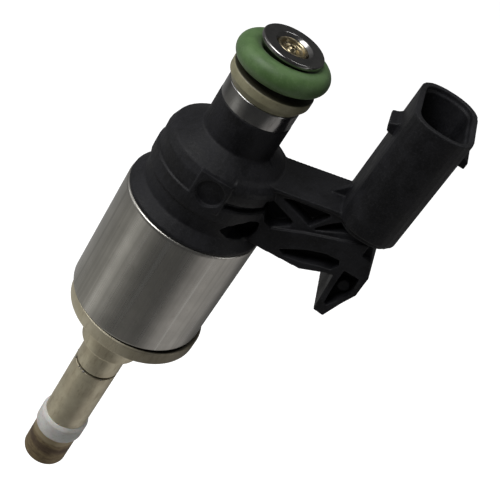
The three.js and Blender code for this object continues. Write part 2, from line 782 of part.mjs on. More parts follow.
function armature() {
  const outer = GUIDE_BORE - RUNNING;
  const body = turned([
    [ARMATURE.stemBore, ARMATURE.bottom],
    [outer - 0.5, ARMATURE.bottom],
    [outer, ARMATURE.bottom + 0.5],
    [outer, ARMATURE.top],
    [ARMATURE.stemBore, ARMATURE.top],
  ]);
  const middle = (ARMATURE.bottom + ARMATURE.top) / 2;
  const tools = around(ARMATURE_HOLES.count, (angle) => {
    const { radius, ring: holeRing } = ARMATURE_HOLES;
    const tool = new THREE.CylinderGeometry(radius, radius, 8, 12).rotateX(Math.PI / 2);
    return solid(tool.translate(holeRing, 0, middle).rotateZ(angle));
  });
  return cut(body, tools);
}

class Helix extends THREE.Curve {
  getPoint(t, target = new THREE.Vector3()) {
    const angle = t * SPRING.turns * 2 * Math.PI;
    const rise = SPRING.top - SPRING.bottom - 2 * SPRING.wire;
    const height = SPRING.bottom + SPRING.wire + t * rise;
    return target.set(SPRING.ring * Math.cos(angle), SPRING.ring * Math.sin(angle), height);
  }
}

function closingSpring() {
  const wire = new THREE.Shape();
  const sides = 6;
  for (let i = 0; i < sides; i++) {
    const angle = (i * 2 * Math.PI) / sides;
    const x = SPRING.wire * Math.cos(angle);
    const y = SPRING.wire * Math.sin(angle);
    if (i === 0) wire.moveTo(x, y);
    else wire.lineTo(x, y);
  }
  wire.closePath();
  const options = { steps: SPRING.turns * 14, extrudePath: new Helix(), bevelEnabled: false };
  return solid(new THREE.ExtrudeGeometry(wire, options));
}

// ---- Assembly -----------------------------------------------------------------------------------

addPiece("inlet_tube", inletTube(), "darkSteel");
addPiece("filter_collar", filterCollar(), "brass");
addPiece("filter_screen", filterScreen(), "steel");
addPiece("o_ring", oRing(), "greenRubber");
addPiece("backup_ring", backupRing(), "tanPlastic");
addPiece("overmould", overmould(), "blackPlastic");
addPiece("terminal_1", terminal(1), "tin");
addPiece("terminal_2", terminal(-1), "tin");
addPiece("magnet_pot", magnetPot(), "canSteel");
addPiece("pole_washer", poleWasher(), "steel");
addPiece("coil_bobbin", coilBobbin(), "brownPlastic");
addPiece("coil_winding", coilWinding(), "copper");
addPiece("inner_pole", innerPole(), "steel");
addPiece("isolating_ring", isolatingRing(), "steel");
addPiece("adjusting_sleeve", adjustingSleeve(), "steel");
addPiece("seat_ring", seatRing(), "steel");
addPiece("valve_housing", valveHousing(), "steel");
addPiece("valve_body", valveBody(), "steel");
addPiece("combustion_seal", combustionSeal(), "whitePlastic");
addPiece("valve_seat", valveSeat(), "tarnished");
addPiece("ball_guide", ballGuide(), "steel");
addPiece("ball", ball(), "steel");
addPiece("needle", needle(), "steel");
addPiece("armature", armature(), "darkSteel");
addPiece("closing_spring", closingSpring(), "steel");

export default group;
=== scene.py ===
"""Looks for a fuel injector: smooth turned metal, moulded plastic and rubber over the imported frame.

The injector stands on its tip along +Z, inlet end up, with the plug socket on its +X side. Lengths
are in millimetres here, and are turned into metres where meshes are made.
"""

import json
import math
import random

import bmesh
import bpy
from mathutils import Matrix, Vector


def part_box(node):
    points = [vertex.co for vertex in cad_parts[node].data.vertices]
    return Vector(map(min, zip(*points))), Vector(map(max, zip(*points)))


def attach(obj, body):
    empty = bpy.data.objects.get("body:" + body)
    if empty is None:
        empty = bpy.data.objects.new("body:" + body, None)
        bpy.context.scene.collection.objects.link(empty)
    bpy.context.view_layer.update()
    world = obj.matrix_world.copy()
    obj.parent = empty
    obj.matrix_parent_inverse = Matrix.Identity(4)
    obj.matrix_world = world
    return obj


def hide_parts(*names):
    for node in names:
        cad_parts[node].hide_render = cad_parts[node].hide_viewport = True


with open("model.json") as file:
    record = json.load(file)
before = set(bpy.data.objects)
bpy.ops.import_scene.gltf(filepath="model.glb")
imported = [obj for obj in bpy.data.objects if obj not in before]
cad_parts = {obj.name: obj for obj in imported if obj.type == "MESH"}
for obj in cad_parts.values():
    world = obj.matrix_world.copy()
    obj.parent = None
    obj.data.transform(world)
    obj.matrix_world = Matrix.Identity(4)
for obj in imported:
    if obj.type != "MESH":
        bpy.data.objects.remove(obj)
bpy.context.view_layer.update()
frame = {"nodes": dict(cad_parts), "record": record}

MM = 0.001
BODY = "injector"
NODES = frame["nodes"]


def reach(node):
    """Outer radius, bottom and top of a node that is turned about the valve axis, in millimetres."""
    low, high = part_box(node)
    return high.x / MM, low.z / MM, high.z / MM


CAN_RADIUS, CAN_BOTTOM, CAN_TOP = reach("magnet_pot")
RING_TOP = reach("seat_ring")[2]

NOZZLE_RADIUS = 3.55
NOZZLE_BORE = 2.2
WELD = {"bottom": 23.5, "top": 23.85, "radius": 3.05}
WELD_MIDDLE = 23.68
SEAL_BOTTOM = 6.95  # the white ring's lower end; the steel below it is burnt


# ---- Camera, floor and light --------------------------------------------------------------------


def add_camera():
    """A long lens from above and a little to the left, with the injector leaning across the frame."""
    data = bpy.data.cameras.new("camera")
    data.lens = 79.39
    data.sensor_width = 36
    data.sensor_fit = "HORIZONTAL"
    data.clip_start = 0.005
    camera = bpy.data.objects.new("camera", data)
    right = Vector((0.854946, 0.236547, 0.461642))
    up = Vector((-0.511529, 0.532131, 0.674667))
    forward = Vector((0.086063, 0.812947, -0.575943))
    place = Vector((-0.003907, -0.124327, 0.145976))
    turn = Matrix((right, up, -forward)).transposed()
    camera.matrix_world = Matrix.Translation(place) @ turn.to_4x4()
    bpy.context.scene.collection.objects.link(camera)
    bpy.context.scene.camera = camera


def direction(azimuth, elevation):
    """The way from the object towards this azimuth and elevation in degrees, azimuth 0 being +X."""
    a, e = math.radians(azimuth), math.radians(elevation)
    return Vector((math.cos(a) * math.cos(e), math.sin(a) * math.cos(e), math.sin(e)))


TARGET = Vector((0.006, 0, 0.045))  # metres, the middle of the object
PANEL_DISTANCE = 0.5  # metres
PANELS = [
    # name, azimuth, elevation, width and height in metres, power
    ("key", -150, 52, 0.3, 0.3, 1.5),
    ("left", 180, 10, 0.3, 0.3, 0.3),
    ("back", 70, 60, 0.12, 0.12, 0.25),
    ("right", -10, 15, 0.2, 0.2, 0.2),
]


def add_panel(name, azimuth, elevation, width, height, power):
    """A soft rectangular lamp that faces the object from this direction and isn't seen itself."""
    data = bpy.data.lights.new(name, "AREA")
    data.shape = "RECTANGLE"
    data.size = width
    data.size_y = height
    data.energy = power
    lamp = bpy.data.objects.new(name, data)
    away = direction(azimuth, elevation)
    lamp.location = TARGET + away * PANEL_DISTANCE
    lamp.rotation_mode = "QUATERNION"
    lamp.rotation_quaternion = away.to_track_quat("Z", "Y")
    lamp.visible_camera = False
    bpy.context.scene.collection.objects.link(lamp)


GLOWS = [
    # azimuth, elevation, full to, fades by (degrees), strength, colour
    (-158, -34, 4, 44, 0.16, (1.0, 0.99, 0.93)),
    (-150, -36, 1, 16, 0.27, (1.0, 1.0, 0.97)),
    (-88, -66, 4, 24, 0.16, (1.0, 0.99, 0.92)),
    (-3, -33, 8, 44, 0.34, (1.0, 0.97, 0.95)),
    (112, -30, 8, 46, 0.17, (1.0, 1.0, 0.98)),
    (150, -80, 20, 52, 0.30, (1.0, 0.98, 0.92)),
    (170, 35, 10, 60, 0.20, (1.0, 1.0, 1.0)),
]
AMBIENT = 0.07


def add_world():
    """Dim studio air with wide soft glows, which round metal shows as lengthwise bands."""
    world = bpy.data.worlds.new("studio")
    world.use_nodes = True
    tree = world.node_tree
    towards = tree.nodes.new("ShaderNodeTexCoord").outputs["Generated"]
    total = None
    for azimuth, elevation, full, faded, strength, colour in GLOWS:
        aim = tree.nodes.new("ShaderNodeVectorMath")
        aim.operation = "DOT_PRODUCT"
        tree.links.new(towards, aim.inputs[0])
        aim.inputs[1].default_value = direction(azimuth, elevation)
        spread = tree.nodes.new("ShaderNodeMapRange")
        spread.interpolation_type = "SMOOTHSTEP"
        tree.links.new(aim.outputs["Value"], spread.inputs["Value"])
        spread.inputs["From Min"].default_value = math.cos(math.radians(faded))
        spread.inputs["From Max"].default_value = math.cos(math.radians(full))
        tint = tree.nodes.new("ShaderNodeVectorMath")
        tint.operation = "SCALE"
        tint.inputs[0].default_value = [channel * strength for channel in colour]
        tree.links.new(spread.outputs["Result"], tint.inputs["Scale"])
        add = tree.nodes.new("ShaderNodeVectorMath")
        add.operation = "ADD"
        tree.links.new(tint.outputs[0], add.inputs[0])
        if total is None:
            add.inputs[1].default_value = (AMBIENT, AMBIENT, AMBIENT)
        else:
            tree.links.new(total, add.inputs[1])
        total = add.outputs[0]
    tree.links.new(total, tree.nodes["Background"].inputs["Color"])
    bpy.context.scene.world = world


def add_lights():
    add_world()
    for panel in PANELS:
        add_panel(*panel)
    bpy.context.scene.view_settings.view_transform = "Standard"


FLOOR_RADIUS = 20  # metres
FLOOR_HEIGHT = -0.12  # metres, well under the tip


def add_floor():
    """A plain pale floor that the camera sees and the metal doesn't."""
    mesh = bpy.data.meshes.new("floor")
    shape = bmesh.new()
    bmesh.ops.create_circle(shape, cap_ends=True, segments=64, radius=FLOOR_RADIUS)
    bmesh.ops.translate(shape, verts=shape.verts, vec=(0, 0, FLOOR_HEIGHT))
    shape.to_mesh(mesh)
    shape.free()
    floor = bpy.data.objects.new("floor", mesh)
    look = bpy.data.materials.new("pale_floor")
    look.use_nodes = True
    shader = look.node_tree.nodes["Principled BSDF"]
    shader.inputs["Base Color"].default_value = (0.8, 0.8, 0.8, 1)
    shader.inputs["Roughness"].default_value = 0.9
    shader.inputs["Emission Color"].default_value = (1, 1, 1, 1)
    shader.inputs["Emission Strength"].default_value = 0.85
    mesh.materials.append(look)
    bpy.context.scene.collection.objects.link(floor)
    floor.visible_glossy = False
    floor.visible_diffuse = False
    floor.visible_shadow = False


# ---- Materials ----------------------------------------------------------------------------------


class Look:
    """A Principled material, with short ways to add procedural detail. Places are in millimetres."""

    def __init__(self, name, **constants):
        self.material = bpy.data.materials.new(name)
        self.material.use_nodes = True
        self.tree = self.material.node_tree
        self.shader = self.tree.nodes["Principled BSDF"]
        for key, value in constants.items():
            self.shader.inputs[key.replace("_", " ")].default_value = value
        coordinates = self.tree.nodes.new("ShaderNodeTexCoord")
        scale = self.tree.nodes.new("ShaderNodeVectorMath")
        scale.operation = "SCALE"
        scale.inputs["Scale"].default_value = 1 / MM
        self.tree.links.new(coordinates.outputs["Object"], scale.inputs[0])
        self.place = scale.outputs[0]
        self.surface = None

    def put(self, socket, value):
        """Gives a socket a link, a colour or a plain value."""
        if isinstance(value, bpy.types.NodeSocket):
            self.tree.links.new(value, socket)
        elif isinstance(value, (tuple, list)) and len(value) == 3 and socket.type == "RGBA":
            socket.default_value = (*value, 1)
        else:
            socket.default_value = value

    def stretched(self, x, y, z):
        """The place with each axis scaled, so a small scale draws a pattern out along that axis."""
        node = self.tree.nodes.new("ShaderNodeVectorMath")
        node.operation = "MULTIPLY"
        self.put(node.inputs[0], self.place)
        node.inputs[1].default_value = (x, y, z)
        return node.outputs[0]

    def turned(self, across, along):
        """A place that changes only with radius and height, as a lathe's grooves do."""
        flat = self.tree.nodes.new("ShaderNodeVectorMath")
        flat.operation = "MULTIPLY"
        self.put(flat.inputs[0], self.place)
        flat.inputs[1].default_value = (1, 1, 0)
        length = self.tree.nodes.new("ShaderNodeVectorMath")
        length.operation = "LENGTH"
        self.put(length.inputs[0], flat.outputs[0])
        split = self.tree.nodes.new("ShaderNodeSeparateXYZ")
        self.put(split.inputs[0], self.place)
        join = self.tree.nodes.new("ShaderNodeCombineXYZ")
        self.put(join.inputs[0], self.math("MULTIPLY", length.outputs["Value"], across))
        self.put(join.inputs[2], self.math("MULTIPLY", split.outputs[2], along))
        return join.outputs[0]

    def noise(self, scale, place=None, detail=3.0, roughness=0.55, distortion=0.0):
        node = self.tree.nodes.new("ShaderNodeTexNoise")
        self.put(node.inputs["Vector"], place or self.place)
        node.inputs["Scale"].default_value = scale
        node.inputs["Detail"].default_value = detail
        node.inputs["Roughness"].default_value = roughness
        node.inputs["Distortion"].default_value = distortion
        return node.outputs["Fac"]

    def fit(self, value, low, high, to_low=0.0, to_high=1.0):
        """A smooth step: to_low where the value is low, to_high where it is high."""
        node = self.tree.nodes.new("ShaderNodeMapRange")
        node.interpolation_type = "SMOOTHSTEP"
        self.put(node.inputs["Value"], value)
        node.inputs["From Min"].default_value = low
        node.inputs["From Max"].default_value = high
        node.inputs["To Min"].default_value = to_low
        node.inputs["To Max"].default_value = to_high
        return node.outputs["Result"]

    def math(self, operation, a, b=0.0):
        node = self.tree.nodes.new("ShaderNodeMath")
        node.operation = operation
        self.put(node.inputs[0], a)
        self.put(node.inputs[1], b)
        return node.outputs[0]

    def patches(self, pattern, low, high, amount):
        """From 0 up to amount as the pattern goes from low to high."""
        return self.math("MULTIPLY", self.fit(pattern, low, high), amount)

    def away_from(self, height):
        return self.math("ABSOLUTE", self.math("SUBTRACT", self.height(), height))

    def mix(self, factor, a, b):
        """Colour a where the factor is 0 and colour b where it is 1."""
        node = self.tree.nodes.new("ShaderNodeMix")
        node.data_type = "RGBA"
        self.put(node.inputs["Factor"], factor)
        self.put(node.inputs["A"], a)
        self.put(node.inputs["B"], b)
        return node.outputs["Result"]

    def part_of_place(self, axis):
        split = self.tree.nodes.new("ShaderNodeSeparateXYZ")
        self.put(split.inputs[0], self.place)
        return split.outputs[axis]

    def across(self):
        return self.part_of_place(0)

    def height(self):
        return self.part_of_place(2)

    def colour(self, value):
        self.put(self.shader.inputs["Base Color"], value)

    def roughness(self, value):
        self.put(self.shader.inputs["Roughness"], value)

    def bump(self, height, depth):
        """Raises the surface by up to depth millimetres where height is 1."""
        node = self.tree.nodes.new("ShaderNodeBump")
        self.put(node.inputs["Height"], height)
        node.inputs["Distance"].default_value = depth * MM
        node.inputs["Strength"].default_value = 1.0
        if self.surface is not None:
            self.put(node.inputs["Normal"], self.surface)
        self.surface = node.outputs[0]
        self.put(self.shader.inputs["Normal"], self.surface)


def moulded_black():
    """Black glass-filled plastic with a fine grain, light dust and cloudy patches."""
    look = Look("black_plastic", IOR=1.45, Specular_IOR_Level=0.32)
    grime = look.noise(0.22, detail=6, roughness=0.65)
    specks = look.noise(3.2, detail=6, roughness=0.8)
    base = look.mix(look.fit(grime, 0.38, 0.62), (0.004, 0.004, 0.005), (0.012, 0.012, 0.0145))
    dusty = look.mix(look.patches(specks, 0.48, 0.72, 0.6), base, (0.028, 0.028, 0.032))
    grain = look.noise(5.0, detail=5, roughness=0.85)
    look.colour(look.mix(look.patches(grain, 0.52, 0.70, 0.45), dusty, (0.055, 0.056, 0.062)))
    look.roughness(look.fit(grime, 0.35, 0.65, 0.46, 0.66))
    look.bump(look.noise(5.0, detail=5, roughness=0.8), 0.035)
    look.bump(look.noise(1.1, detail=2), 0.03)
    return look.material


def brushed_can():
    """Bright drawn steel with lengthwise streaks, and painted shade in the seam at its foot."""
    look = Look("can_steel", Metallic=1.0)
    streaks = look.noise(1.1, look.stretched(1, 1, 0.012), detail=4, roughness=0.55)
    fine = look.noise(11.0, look.stretched(1, 1, 0.02), detail=3)
    haze = look.noise(0.25, detail=4)
    stains = look.noise(1.2, look.stretched(1, 1, 0.6), detail=6, roughness=0.75)
    pale = look.mix(look.fit(haze, 0.35, 0.7), (0.49, 0.475, 0.44), (0.57, 0.55, 0.51))
    lined = look.mix(look.patches(streaks, 0.45, 0.66, 0.5), pale, (0.33, 0.32, 0.29))
    bright = look.mix(look.patches(streaks, 0.40, 0.30, 0.5), lined, (0.70, 0.69, 0.66))
    stained = look.mix(look.patches(stains, 0.56, 0.72, 0.35), bright, (0.28, 0.27, 0.22))
    # Painted shade: the can's foot is darkened up to about 0.3 mm, standing in for the shade in the gap
    # over the loose ring.
    seam = look.patches(look.height(), CAN_BOTTOM + 0.34, CAN_BOTTOM + 0.2, 0.92)
    look.colour(look.mix(seam, stained, (0.03, 0.028, 0.022)))
    look.roughness(look.fit(streaks, 0.3, 0.75, 0.26, 0.38))
    look.bump(streaks, 0.006)
    look.bump(fine, 0.0025)
    return look.material


def burn(look, colour):
    """Burns the nozzle under its white ring: straw brown at the top, with a dark band lower down."""
    soot = look.noise(1.3, look.stretched(0.6, 0.6, 1.6), detail=6, roughness=0.7)
    uneven = look.math("ADD", look.height(), look.math("MULTIPLY", look.noise(0.5), 1.2))
    burnt = look.fit(look.height(), SEAL_BOTTOM + 0.11, SEAL_BOTTOM - 0.09)
    brown = look.mix(look.fit(soot, 0.35, 0.68), (0.38, 0.30, 0.18), (0.22, 0.165, 0.105))
    straw = look.mix(look.fit(uneven, 5.7, 6.4), brown, (0.50, 0.42, 0.28))
    away = look.math("ABSOLUTE", look.math("SUBTRACT", uneven, 4.6))
    banded = look.mix(look.patches(away, 1.1, 0.3, 0.65), straw, (0.12, 0.08, 0.065))
    return burnt, look.mix(burnt, colour, banded)


def turned_steel(name, light, dark, stain, rough, grooves=0.004, nozzle=False, paint_ring_shade=False):
    """Lathe-turned steel with fine rings, a slow change of tone and rubbed stains.

    The nozzle's also has a burnt lower end and a dark line of painted shade in its weld groove,
    and the loose ring's has painted shade that darkens its +X side and its top face.
    """
    look = Look(name, Metallic=1.0)
    rings = look.noise(7.0, look.turned(1, 1), detail=4, roughness=0.7)
    tone = look.noise(0.5, detail=4)
    smears = look.noise(1.6, look.stretched(1, 1, 0.22), detail=5, roughness=0.7)
    base = look.mix(look.fit(tone, 0.35, 0.68), light, dark)
    colour = look.mix(look.patches(smears, 0.5, 0.75, 0.6), base, stain)
    rubbed = look.fit(smears, 0.3, 0.72, *rough)
    if nozzle:
        burnt, colour = burn(look, colour)
        rubbed = look.math("ADD", rubbed, look.math("MULTIPLY", burnt, 0.14))
        # Painted shade: a dark line along the weld groove stands in for the shade inside the groove.
        near_weld = look.fit(look.away_from(WELD_MIDDLE), 0.25, 0.16)
        line = look.math("MULTIPLY", near_weld, look.fit(smears, 0.75, 0.35, 0.6, 0.97))
        colour = look.mix(line, colour, (0.03, 0.025, 0.018))
        rubbed = look.math("ADD", rubbed, look.math("MULTIPLY", line, 0.2))
    if paint_ring_shade:
        # Painted shade: the loose ring grows darker towards its +X side.
        painted_shade = look.fit(look.across(), 0, 7, 0, 0.75)
        colour = look.mix(painted_shade, colour, (0.10, 0.085, 0.06))
        # Painted shade: the ring's top face, under the can, is darkened.
        top_face_shade = look.fit(look.height(), RING_TOP - 0.22, RING_TOP - 0.14, 0, 0.93)
        colour = look.mix(top_face_shade, colour, (0.03, 0.026, 0.02))
    look.colour(colour)
    look.roughness(rubbed)
    look.bump(rings, grooves)
    look.bump(look.noise(5.0, detail=3), 0.003)
    return look.material


def burnt_tip():
    """The sooty end face round the spray holes."""
    look = Look("tip_steel", Metallic=0.75)
    soot = look.noise(1.1, look.stretched(1, 1, 1.6), detail=6, roughness=0.7)
    patches = look.noise(0.45, detail=3)
    brown = look.mix(look.fit(soot, 0.35, 0.68), (0.25, 0.19, 0.13), (0.10, 0.070, 0.05))
    ring = look.patches(look.away_from(2.2), 1.0, 0.2, 0.55)
    banded = look.mix(ring, brown, (0.045, 0.03, 0.022))
    look.colour(look.mix(look.patches(patches, 0.5, 0.7, 0.4), banded, (0.34, 0.29, 0.22)))
    look.roughness(look.fit(soot, 0.3, 0.75, 0.42, 0.68))
    look.bump(soot, 0.02)
    look.bump(look.noise(7.0, detail=3), 0.006)
    return look.material


def rubber():
    """Green sealing rubber with an oily film and pale worn spots."""
    look = Look("green_rubber", IOR=1.5, Sheen_Weight=0.08, Sheen_Roughness=0.5)
    film = look.noise(0.6, detail=4)
    spots = look.noise(3.5, detail=5, roughness=0.7)
    base = look.mix(look.fit(film, 0.35, 0.7), (0.074, 0.150, 0.044), (0.105, 0.200, 0.064))
    look.colour(look.mix(look.patches(spots, 0.5, 0.78, 0.5), base, (0.18, 0.27, 0.13)))
    look.roughness(look.fit(film, 0.3, 0.7, 0.40, 0.56))
    look.bump(look.noise(5.0, detail=5, roughness=0.8), 0.028)
    look.bump(look.noise(0.8, detail=2), 0.04)
    return look.material


def plain_plastic(name, light, dark, stain, rough=(0.35, 0.55), through=0.0, shade_above=None):
    """Unfilled plastic with faint turning marks and stains, and maybe painted shade on its top face."""
    look = Look(name, IOR=1.45, Subsurface_Weight=through, Subsurface_Scale=0.0008)
    tone = look.noise(0.5, detail=4)
    marks = look.noise(1.8, look.stretched(1, 1, 2.2), detail=5, roughness=0.65)
    base = look.mix(look.fit(tone, 0.35, 0.7), light, dark)
    colour = look.mix(look.patches(marks, 0.52, 0.74, 0.6), base, stain)
    if shade_above is not None:
        # Painted shade: everything above this height is darkened, as a top face lying in shade.
        painted_shade = look.patches(look.height(), shade_above - 0.1, shade_above, 0.9)
        colour = look.mix(painted_shade, colour, (0.022, 0.020, 0.014))
    look.colour(colour)
    look.roughness(look.fit(marks, 0.3, 0.7, *rough))
    look.bump(look.noise(5.0, look.turned(1, 1), detail=3), 0.006)
    look.bump(look.noise(4.0, detail=4), 0.006)
    return look.material


def enamelled_wire():
    """Wound copper wire: fine rings across the winding under clear enamel."""
    look = Look("copper_wire", Metallic=1.0, Coat_Weight=0.5, Coat_Roughness=0.15)
    turns = look.noise(9.0, look.turned(0.3, 1), detail=1)
    tone = look.noise(0.8, detail=3)
    look.colour(look.mix(look.fit(tone, 0.35, 0.7), (0.62, 0.27, 0.12), (0.45, 0.17, 0.07)))
    look.roughness(look.fit(turns, 0.3, 0.7, 0.22, 0.4))
    look.bump(turns, 0.05)
    return look.material


BACKUP_RING_TOP = 81.95
LOOKS = {
    "black_plastic": moulded_black(),
    "can_steel": brushed_can(),
    "steel": turned_steel(
        "steel",
        light=(0.76, 0.70, 0.53),
        dark=(0.65, 0.585, 0.435),
        stain=(0.42, 0.36, 0.24),
        rough=(0.40, 0.52),
        nozzle=True,
    ),
    "ring_steel": turned_steel(
        "ring_steel",
        light=(0.80, 0.74, 0.58),
        dark=(0.70, 0.64, 0.48),
        stain=(0.42, 0.36, 0.25),
        rough=(0.48, 0.60),
        paint_ring_shade=True,
    ),
    "polished_steel": turned_steel(
        "polished_steel",
        light=(0.33, 0.325, 0.315),
        dark=(0.26, 0.255, 0.25),
        stain=(0.17, 0.16, 0.15),
        rough=(0.14, 0.26),
        grooves=0.002,
    ),
    "magnetic_steel": turned_steel(
        "magnetic_steel",
        light=(0.42, 0.41, 0.40),
        dark=(0.33, 0.32, 0.31),
        stain=(0.24, 0.21, 0.18),
        rough=(0.3, 0.5),
        grooves=0.006,
    ),
    "brass": turned_steel(
        "brass",
        light=(0.42, 0.36, 0.23),
        dark=(0.32, 0.265, 0.17),
        stain=(0.20, 0.155, 0.10),
        rough=(0.22, 0.38),
        grooves=0.003,
    ),
    "copper_wire": enamelled_wire(),
    "tinned_brass": turned_steel(
        "tinned_brass",
        light=(0.62, 0.60, 0.56),
        dark=(0.54, 0.50, 0.44),
        stain=(0.50, 0.40, 0.24),
        rough=(0.22, 0.4),
        grooves=0.0,
    ),
    "green_rubber": rubber(),
    "tan_plastic": plain_plastic(
        "tan_plastic",
        light=(0.31, 0.29, 0.185),
        dark=(0.25, 0.235, 0.145),
        stain=(0.15, 0.13, 0.075),
        # painted shade on the top face, under the green ring
        shade_above=BACKUP_RING_TOP - 0.02,
    ),
    "white_plastic": plain_plastic(
        "white_plastic",
        light=(0.78, 0.77, 0.74),
        dark=(0.67, 0.655, 0.61),
        stain=(0.42, 0.37, 0.29),
        rough=(0.4, 0.6),
        through=0.15,
    ),
    "brown_plastic": plain_plastic(
        "brown_plastic",
        light=(0.16, 0.085, 0.045),
        dark=(0.12, 0.06, 0.03),
        stain=(0.08, 0.04, 0.02),
    ),
    "tip_steel": burnt_tip(),
}
SLOT_OF = {part["node"]: part["material_slot"] for part in frame["record"]["subparts"]}


def dress_carried_nodes():
    """Every CAD node gets its finish, so the ones inside look right in a cutaway too."""
    for name, node in NODES.items():
        node.data.materials.clear()
        node.data.materials.append(LOOKS[SLOT_OF[name]])


# ---- Mesh helpers -------------------------------------------------------------------------------


def placed(name, mesh, slot, nodes, look=None):
    """Puts a finished mesh in place of its CAD nodes, in its slot's look unless another is named."""
    piece = bpy.data.objects.new(name, mesh)
    bpy.context.scene.collection.objects.link(piece)
    mesh.materials.clear()
    mesh.materials.append(LOOKS[look or slot])
    for face in mesh.polygons:
        face.use_smooth = True
    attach(piece, BODY)
    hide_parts(*nodes)
    return piece


def softened(profile, radius, steps=3):
    """The closed [radius, height] outline with its corners rounded off by up to this radius."""
    outline = []
    for i, point in enumerate(profile):
        here = Vector(point)
        before = Vector(profile[i - 1]) - here
        after = Vector(profile[(i + 1) % len(profile)]) - here
        if here.x < 1e-6:
            outline.append(here)
            continue
        reach = min(radius, 0.4 * before.length, 0.4 * after.length)
        start = here + before.normalized() * reach
        end = here + after.normalized() * reach
        for k in range(steps + 1):
            t = k / steps
            outline.append(start.lerp(here, t).lerp(here.lerp(end, t), t))
    return outline


def as_mesh(name, shape):
    mesh = bpy.data.meshes.new(name)
    shape.to_mesh(mesh)
    shape.free()
    return mesh


def turned_mesh(name, profile, segments=160, centre_x=0.0, radius=0.08):
    """A closed [radius, height] outline in millimetres, turned about Z."""
    outline = softened(profile, radius)
    shape = bmesh.new()
    rings = []
    for i in range(segments):
        angle = 2 * math.pi * i / segments
        c, s = math.cos(angle), math.sin(angle)
        places = [Vector((centre_x + p.x * c, p.x * s, p.y)) * MM for p in outline]
        rings.append([shape.verts.new(place) for place in places])
    count = len(outline)
    for i in range(segments):
        here, there = rings[i], rings[(i + 1) % segments]
        for k in range(count):
            n = (k + 1) % count
            shape.faces.new((here[k], there[k], there[n], here[n]))
    bmesh.ops.remove_doubles(shape, verts=shape.verts, dist=1e-7)
    bmesh.ops.recalc_face_normals(shape, faces=shape.faces)
    return as_mesh(name, shape)


def steady_shading(piece):
    """Keeps broad faces flat-looking beside their small rounded edges."""
    weighted = piece.modifiers.new("steady", "WEIGHTED_NORMAL")
    weighted.weight = 100
    weighted.keep_sharp = True


def turned(name, profile, slot, nodes, look=None, **options):
    """A piece turned about Z in place of its CAD nodes."""
    piece = placed(name, turned_mesh(name, profile, **options), slot, nodes, look=look)
    steady_shading(piece)
    return piece


def cad_mesh(node):
    """A closed copy of a CAD node's mesh."""
    mesh = NODES[node].data.copy()
    shape = bmesh.new()
    shape.from_mesh(mesh)
    bmesh.ops.remove_doubles(shape, verts=shape.verts, dist=1e-7)
    shape.to_mesh(mesh)
    shape.free()
    return mesh


# ---- Fuel inlet ---------------------------------------------------------------------------------

O_RING = {
    "radius": 4.78,
    "section": 1.66,
    "height": 84.15,
    "flash": 0.02,
    "tilt_x": -3.5,  # degrees
    "tilt_y": -3.2,
}


def inlet():
    """The fuel tube: top disc over the seal's groove, bare neck, long part inside the moulding."""
    top = reach("inlet_tube")[2]
    disc_bottom = top - 0.6
    groove, neck, tube, bore = 3.08, 5.15, 4.1, 2.1
    neck_bottom, neck_top = 77.1, 79.65
    turned(
        "inlet_tube_turned",
        [
            # spigot and tube inside the moulding
            [1.5, 58.2], [2.95, 58.2], [2.95, 60.15], [tube, 60.15], [tube, neck_bottom],
            # bare neck
            [neck, neck_bottom], [neck, neck_top - 0.15], [neck - 0.15, neck_top], [4.2, neck_top],
            # seal groove and disc
            [groove, 80.7], [groove, disc_bottom], [4.3, disc_bottom], [4.3, top - 0.14], [4.16, top],
            # bore
            [2.6, top], [bore, top - 0.5], [bore, 72], [1.5, 71.4],
        ],
        "polished_steel", ["inlet_tube"], radius=0.06,
    )


def collar():
    """The strainer's brass collar: a rolled lip, a dished face and a button with the fuel orifice."""
    outer, bottom, top = reach("filter_collar")
    orifice = 0.28
    turned(
        "strainer_collar",
        [
            [orifice, bottom], [outer, bottom], [outer, top - 0.15],
            # rolled lip
            [outer - 0.1, top], [outer - 0.28, top - 0.02], [outer - 0.42, top - 0.16],
            [outer - 0.50, top - 0.44],
            # dished face
            [1.42, 86.2], [1.2, 86.1], [0.9, 86.14],
            # button
            [0.72, 86.3], [0.62, 86.5], [0.52, top - 0.08], [0.42, top - 0.02], [0.32, top - 0.1],
            [orifice, top - 0.3],
        ],
        "brass", ["filter_collar"], segments=96, radius=0.05,
    )


def o_ring():
    """A moulded ring with a thin flash line round its middle, sitting a little crooked in its groove."""
    profile = []
    steps = 48
    for i in range(steps):
        angle = 2 * math.pi * i / steps
        flash = O_RING["flash"] * math.exp(-((math.degrees(angle) - 180) / 6) ** 2)
        x = O_RING["radius"] + (O_RING["section"] + flash) * math.cos(angle)
        profile.append([x, O_RING["section"] * math.sin(angle)])
    mesh = turned_mesh("rail_o_ring", profile, segments=192, radius=0)
    tilt_y = Matrix.Rotation(math.radians(O_RING["tilt_y"]), 4, "Y")
    tilt_x = Matrix.Rotation(math.radians(O_RING["tilt_x"]), 4, "X")
    mesh.transform(Matrix.Translation((0, 0, O_RING["height"] * MM)) @ tilt_y @ tilt_x)
    placed("rail_o_ring", mesh, "green_rubber", ["o_ring"])


def backup_ring():
    """The tan support ring: straight above its shoulder and tapered below it."""
    outer, inner, foot, top = 5.75, 3.12, 5.1, BACKUP_RING_TOP
    turned(
        "support_ring",
        [
            [4.25, 79.67], [foot, 79.67], [foot + 0.08, 79.85], [outer - 0.04, 80.62], [outer, 80.78],
            [outer, top - 0.2], [outer - 0.15, top], [inner, top], [inner, 80.74],
        ],
        "tan_plastic", ["backup_ring"], radius=0.1,
    )


# ---- Can, seat ring and nozzle ------------------------------------------------------------------


